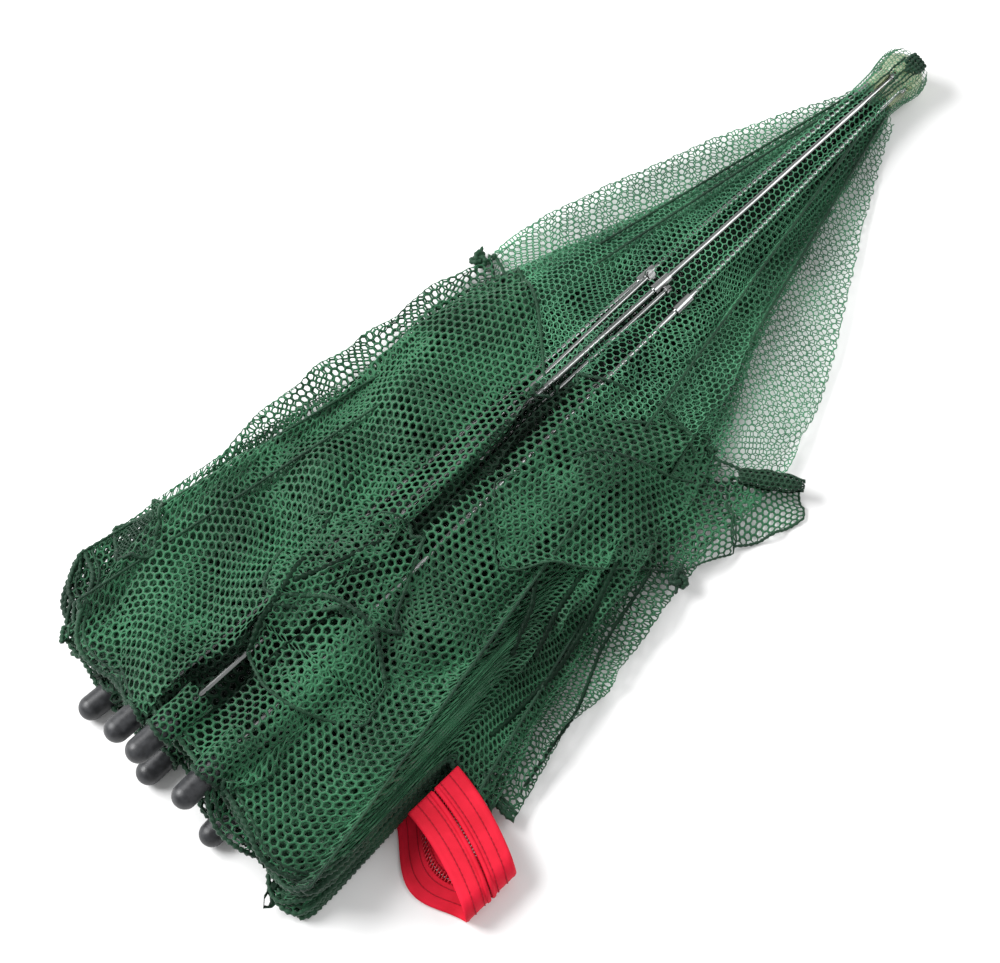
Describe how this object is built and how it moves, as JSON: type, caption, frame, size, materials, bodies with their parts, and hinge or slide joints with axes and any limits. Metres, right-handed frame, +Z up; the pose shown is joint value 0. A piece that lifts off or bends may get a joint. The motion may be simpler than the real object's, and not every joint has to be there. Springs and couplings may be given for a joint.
{
  "type": "folding umbrella fishing trap",
  "caption": "Folding umbrella-type fishing trap with steel ribs, rubber caps, green netting and a red zipper, lying folded.",
  "frame": {"origin": "on the floor under the middle of the folded bundle", "axes": "+X along the bundle from the caps to the crown, +Z up from the floor"},
  "size_m": [0.4353, 0.214, 0.0486],
  "materials": {
    "crown_plastic": "translucent pale green moulded plastic",
    "steel": "bright drawn wire",
    "rubber_cap": "matt black moulded rubber",
    "runner_plastic": "black moulded plastic",
    "net_green": "knotless knitted nylon net, dark green",
    "zipper_red": "woven polyester zipper tape, bright red",
    "zipper_coil_red": "nylon coil, red",
    "zipper_metal": "plated zipper metal"
  },
  "bodies": {
    "crown": {"crown_hub": "crown_plastic", "crown_pins": "steel"},
    "runner": {"runner": "runner_plastic"},
    "rib_1": {"rib_1": "steel", "rib_cap_1": "rubber_cap", "rib_clip_1": "steel"},
    "stretcher_1": {"stretcher_1": "steel"},
    "rib_2": {"rib_2": "steel", "rib_cap_2": "rubber_cap", "rib_clip_2": "steel"},
    "stretcher_2": {"stretcher_2": "steel"},
    "rib_3": {"rib_3": "steel", "rib_cap_3": "rubber_cap", "rib_clip_3": "steel"},
    "stretcher_3": {"stretcher_3": "steel"},
    "rib_4": {"rib_4": "steel", "rib_cap_4": "rubber_cap", "rib_clip_4": "steel"},
    "stretcher_4": {"stretcher_4": "steel"},
    "rib_5": {"rib_5": "steel", "rib_cap_5": "rubber_cap", "rib_clip_5": "steel"},
    "stretcher_5": {"stretcher_5": "steel"},
    "rib_6": {"rib_6": "steel", "rib_cap_6": "rubber_cap", "rib_clip_6": "steel"},
    "stretcher_6": {"stretcher_6": "steel"},
    "net_1a": {"net_panel_1a": "net_green"},
    "net_1b": {"net_panel_1b": "net_green"},
    "net_2a": {"net_panel_2a": "net_green"},
    "net_2b": {"net_panel_2b": "net_green"},
    "net_3a": {"net_panel_3a": "net_green"},
    "net_3b": {"net_panel_3b": "net_green"},
    "net_4a": {"net_panel_4a": "net_green"},
    "net_4b": {"net_panel_4b": "net_green"},
    "net_5a": {"net_panel_5a": "net_green"},
    "net_5b": {"net_panel_5b": "net_green"},
    "net_6a": {"net_panel_6a": "net_green"},
    "net_6b": {"net_panel_6b": "net_green", "zipper_tape_front": "zipper_red", "zipper_tape_back": "zipper_red", "zipper_coil": "zipper_coil_red", "zipper_end_stop": "zipper_metal"},
    "zipper_slider": {"zipper_slider": "zipper_metal"},
    "zipper_puller": {"zipper_puller": "zipper_metal"}
  },
  "joints": [
    {"name": "fold", "type": "hinge", "parent": "rib_1", "child": "crown", "pos_m": [0.20379, 0.022, 0.00401], "axis": [0, 1, 0], "range_deg": [0, 58.11], "deforming": ["net_panel_1a", "net_panel_1b", "net_panel_2a", "net_panel_2b", "net_panel_3a", "net_panel_3b", "net_panel_4a", "net_panel_4b", "net_panel_5a", "net_panel_5b", "net_panel_6a", "net_panel_6b"]},
    {"name": "rib_2_fold", "type": "hinge", "parent": "crown", "child": "rib_2", "pos_m": [0.20389, 0.0272, 0.00701], "axis": [-0.0308, -0.5, -0.8655], "range_deg": [0, 55.38]},
    {"name": "rib_3_fold", "type": "hinge", "parent": "crown", "child": "rib_3", "pos_m": [0.20411, 0.0272, 0.013], "axis": [-0.0308, 0.5, -0.8655], "range_deg": [0, 58.77]},
    {"name": "rib_4_fold", "type": "hinge", "parent": "crown", "child": "rib_4", "pos_m": [0.20421, 0.022, 0.016], "axis": [0, 1, 0], "range_deg": [0, 59.05]},
    {"name": "rib_5_fold", "type": "hinge", "parent": "crown", "child": "rib_5", "pos_m": [0.20411, 0.0168, 0.013], "axis": [0.0308, 0.5, 0.8655], "range_deg": [0, 56.86]},
    {"name": "rib_6_fold", "type": "hinge", "parent": "crown", "child": "rib_6", "pos_m": [0.20389, 0.0168, 0.00701], "axis": [0.0308, -0.5, 0.8655], "range_deg": [0, 55.38]},
    {"name": "stretcher_1_fold", "type": "hinge", "parent": "rib_1", "child": "stretcher_1", "pos_m": [0.06379, 0.0255, 0.00438], "axis": [0, 1, 0], "range_deg": [0, 116.23]},
    {"name": "stretcher_2_fold", "type": "hinge", "parent": "rib_2", "child": "stretcher_2", "pos_m": [0.06434, 0.03872, 0.00937], "axis": [0.0308, 0.5, 0.8655], "range_deg": [0, 110.75]},
    {"name": "stretcher_3_fold", "type": "hinge", "parent": "rib_3", "child": "stretcher_3", "pos_m": [0.06439, 0.02805, 0.02252], "axis": [0.0308, -0.5, 0.8655], "range_deg": [0, 117.54]},
    {"name": "stretcher_4_fold", "type": "hinge", "parent": "rib_4", "child": "stretcher_4", "pos_m": [0.0644, 0.0185, 0.02331], "axis": [0, -1, 0], "range_deg": [0, 118.1]},
    {"name": "stretcher_5_fold", "type": "hinge", "parent": "rib_5", "child": "stretcher_5", "pos_m": [0.06443, 0.00841, 0.01878], "axis": [-0.0308, -0.5, -0.8655], "range_deg": [0, 113.72]},
    {"name": "stretcher_6_fold", "type": "hinge", "parent": "rib_6", "child": "stretcher_6", "pos_m": [0.06413, 0.00878, 0.00331], "axis": [-0.0308, 0.5, -0.8655], "range_deg": [0, 110.75]},
    {"name": "runner_slide", "type": "slide", "parent": "crown", "child": "runner", "axis": [0.9994, 0, -0.0356], "range_m": [0, 0.13985]},
    {"name": "net_1a_unfold", "type": "hinge", "parent": "rib_1", "child": "net_1a", "pos_m": [0.20379, 0.022, 0.00401], "axis": [0.7177, 0.0858, -0.6911], "range_deg": [0, 24.84]},
    {"name": "net_1b_unfold", "type": "hinge", "parent": "rib_2", "child": "net_1b", "pos_m": [0.20389, 0.0272, 0.00701], "axis": [-0.9892, -0.1262, -0.0751], "range_deg": [0, 132.97]},
    {"name": "net_2a_unfold", "type": "hinge", "parent": "rib_2", "child": "net_2a", "pos_m": [0.20389, 0.0272, 0.00701], "axis": [0.9707, 0.1254, -0.205], "range_deg": [0, 69.09]},
    {"name": "net_2b_unfold", "type": "hinge", "parent": "rib_3", "child": "net_2b", "pos_m": [0.20411, 0.0272, 0.013], "axis": [-0.9777, -0.1613, -0.1344], "range_deg": [0, 63.95]},
    {"name": "net_3a_unfold", "type": "hinge", "parent": "rib_3", "child": "net_3a", "pos_m": [0.20411, 0.0272, 0.013], "axis": [0.9836, 0.1357, -0.1191], "range_deg": [0, 143.67]},
    {"name": "net_3b_unfold", "type": "hinge", "parent": "rib_4", "child": "net_3b", "pos_m": [0.20421, 0.022, 0.016], "axis": [-0.3703, -0.2165, -0.9033], "range_deg": [0, 17.72]},
    {"name": "net_4a_unfold", "type": "hinge", "parent": "rib_4", "child": "net_4a", "pos_m": [0.20421, 0.022, 0.016], "axis": [0.6497, -0.142, 0.7468], "range_deg": [0, 18.86]},
    {"name": "net_4b_unfold", "type": "hinge", "parent": "rib_5", "child": "net_4b", "pos_m": [0.20411, 0.0168, 0.013], "axis": [-0.9854, 0.1035, 0.1353], "range_deg": [0, 144.52]},
    {"name": "net_5a_unfold", "type": "hinge", "parent": "rib_5", "child": "net_5a", "pos_m": [0.20411, 0.0168, 0.013], "axis": [0.989, -0.1139, 0.0941], "range_deg": [0, 61.97]},
    {"name": "net_5b_unfold", "type": "hinge", "parent": "rib_6", "child": "net_5b", "pos_m": [0.20389, 0.0168, 0.00701], "axis": [-0.9835, 0.0784, 0.1633], "range_deg": [0, 71.15]},
    {"name": "net_6a_unfold", "type": "hinge", "parent": "rib_6", "child": "net_6a", "pos_m": [0.20389, 0.0168, 0.00701], "axis": [0.994, -0.0831, 0.0714], "range_deg": [0, 140.11]},
    {"name": "net_6b_unfold", "type": "hinge", "parent": "rib_1", "child": "net_6b", "pos_m": [0.20379, 0.022, 0.00401], "axis": [-0.7196, 0.1101, 0.6856], "range_deg": [0, 19.2]},
    {"name": "slider_slide", "type": "slide", "parent": "net_6b", "child": "zipper_slider", "axis": [0, 1, 0], "range_m": [-0.012, 0.012]},
    {"name": "puller_hinge", "type": "hinge", "parent": "zipper_slider", "child": "zipper_puller", "pos_m": [-0.145, -0.042, 0.00475], "axis": [1, 0, 0], "range_deg": [0, 90]}
  ],
  "couplings": [
    {"joint": "rib_2_fold", "follows": "fold", "ratio": 0.95292},
    {"joint": "rib_3_fold", "follows": "fold", "ratio": 1.0113},
    {"joint": "rib_4_fold", "follows": "fold", "ratio": 1.0161},
    {"joint": "rib_5_fold", "follows": "fold", "ratio": 0.97846},
    {"joint": "rib_6_fold", "follows": "fold", "ratio": 0.95292},
    {"joint": "stretcher_1_fold", "follows": "fold", "ratio": 2},
    {"joint": "stretcher_2_fold", "follows": "fold", "ratio": 1.9058},
    {"joint": "stretcher_3_fold", "follows": "fold", "ratio": 2.0226},
    {"joint": "stretcher_4_fold", "follows": "fold", "ratio": 2.0323},
    {"joint": "stretcher_5_fold", "follows": "fold", "ratio": 1.9569},
    {"joint": "stretcher_6_fold", "follows": "fold", "ratio": 1.9058},
    {"joint": "runner_slide", "follows": "fold", "m_per_rad": 0.13788},
    {"joint": "net_1a_unfold", "follows": "fold", "ratio": 0.42742},
    {"joint": "net_1b_unfold", "follows": "fold", "ratio": 2.2881},
    {"joint": "net_2a_unfold", "follows": "fold", "ratio": 1.1889},
    {"joint": "net_2b_unfold", "follows": "fold", "ratio": 1.1004},
    {"joint": "net_3a_unfold", "follows": "fold", "ratio": 2.4723},
    {"joint": "net_3b_unfold", "follows": "fold", "ratio": 0.30485},
    {"joint": "net_4a_unfold", "follows": "fold", "ratio": 0.32448},
    {"joint": "net_4b_unfold", "follows": "fold", "ratio": 2.4869},
    {"joint": "net_5a_unfold", "follows": "fold", "ratio": 1.0663},
    {"joint": "net_5b_unfold", "follows": "fold", "ratio": 1.2243},
    {"joint": "net_6a_unfold", "follows": "fold", "ratio": 2.4111},
    {"joint": "net_6b_unfold", "follows": "fold", "ratio": 0.33039}
  ]
}
